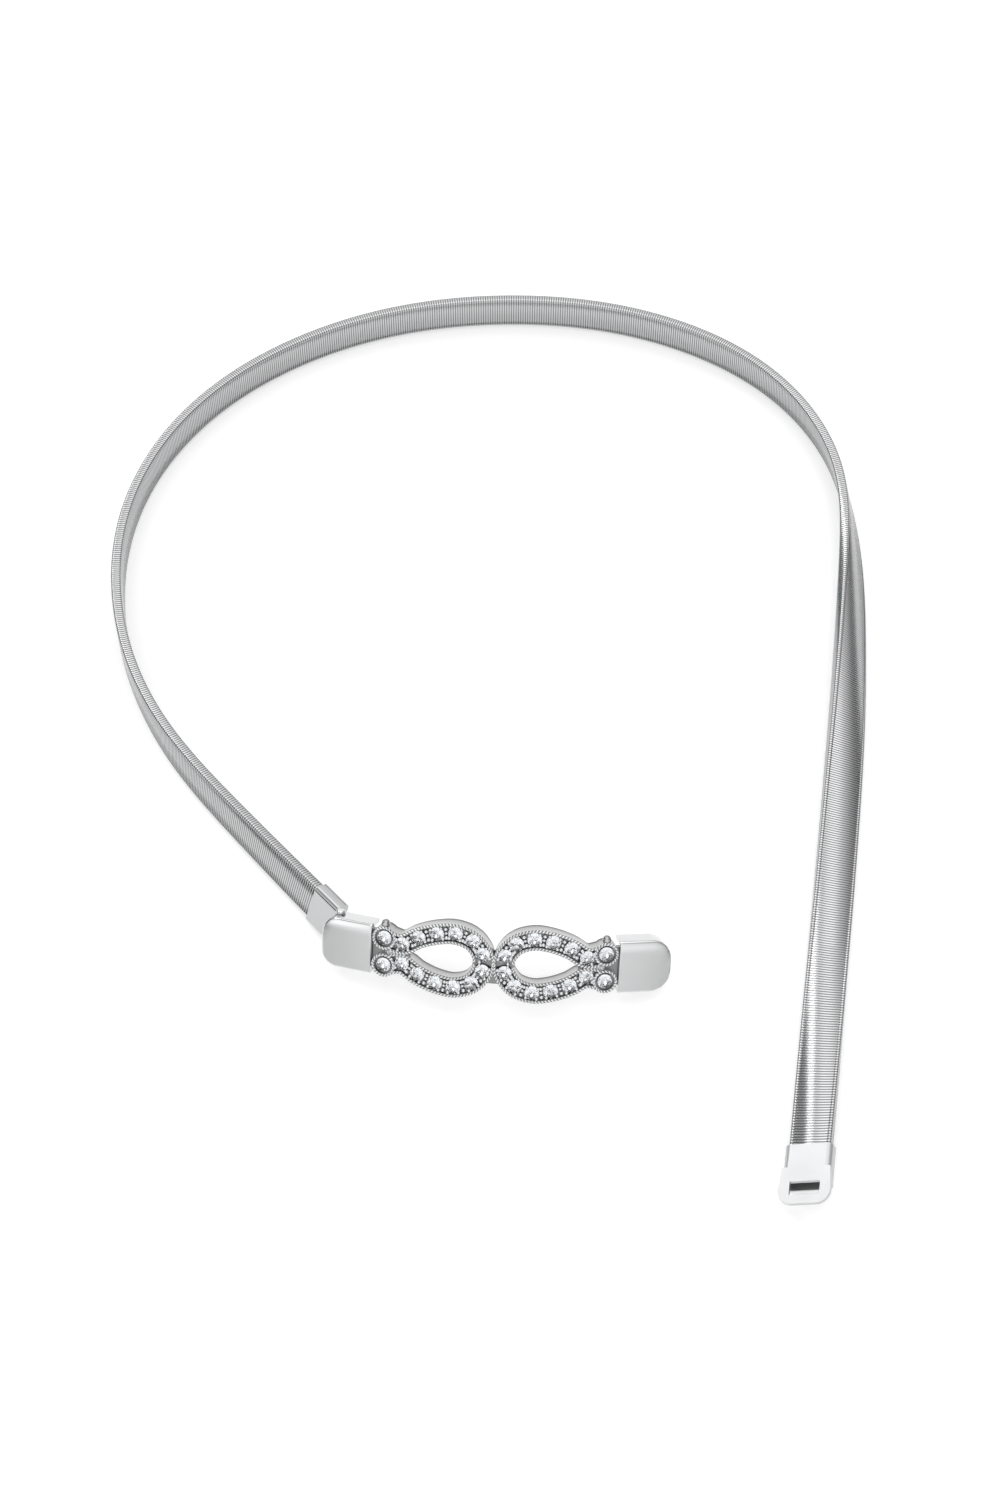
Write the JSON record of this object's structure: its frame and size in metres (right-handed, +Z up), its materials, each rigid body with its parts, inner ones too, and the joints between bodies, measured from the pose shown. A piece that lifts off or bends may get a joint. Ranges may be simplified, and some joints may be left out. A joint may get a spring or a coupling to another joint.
{
  "type": "stretch belt",
  "caption": "Narrow expanding metal coil belt with a hinged two-loop buckle set with round stones, a hook and a slotted end box, lying open.",
  "frame": {"origin": "middle of the belt as it lies, on the surface it lies on", "axes": "+Z up from the surface; +X to the right and -Y towards the viewer, in the picture"},
  "size_m": [0.2044, 0.2916, 0.0199],
  "materials": {
    "band_steel": "bright steel coil, finely ribbed",
    "polished_metal": "smooth polished plate",
    "cast_metal": "bright cast metal with roped rims",
    "crystal": "clear cut stones"
  },
  "bodies": {
    "band": {"stretch_band": "band_steel", "band_end_clip": "polished_metal", "slot_end_box": "polished_metal"},
    "buckle": {"cap_hinge_end": "polished_metal", "buckle_loops": "cast_metal", "cap_hook_end": "polished_metal", "buckle_hook": "polished_metal", "hinge_pin": "polished_metal", "stone_left_lower_1": "crystal", "stone_left_lower_2": "crystal", "stone_left_lower_3": "crystal", "stone_left_lower_4": "crystal", "stone_left_lower_5": "crystal", "stone_left_lower_6": "crystal", "stone_left_lower_7": "crystal", "stone_left_upper_1": "crystal", "stone_left_upper_2": "crystal", "stone_left_upper_3": "crystal", "stone_left_upper_4": "crystal", "stone_left_upper_5": "crystal", "stone_left_upper_6": "crystal", "stone_left_upper_7": "crystal", "stone_right_lower_1": "crystal", "stone_right_lower_2": "crystal", "stone_right_lower_3": "crystal", "stone_right_lower_4": "crystal", "stone_right_lower_5": "crystal", "stone_right_lower_6": "crystal", "stone_right_lower_7": "crystal", "stone_right_upper_1": "crystal", "stone_right_upper_2": "crystal", "stone_right_upper_3": "crystal", "stone_right_upper_4": "crystal", "stone_right_upper_5": "crystal", "stone_right_upper_6": "crystal", "stone_right_upper_7": "crystal"}
  },
  "joints": [
    {"name": "buckle_hinge", "type": "hinge", "parent": "band", "child": "buckle", "pos_m": [-0.0357, -0.07461, 0.00779], "axis": [0.0512, 0.5855, 0.809], "range_deg": [-18, 45]}
  ]
}
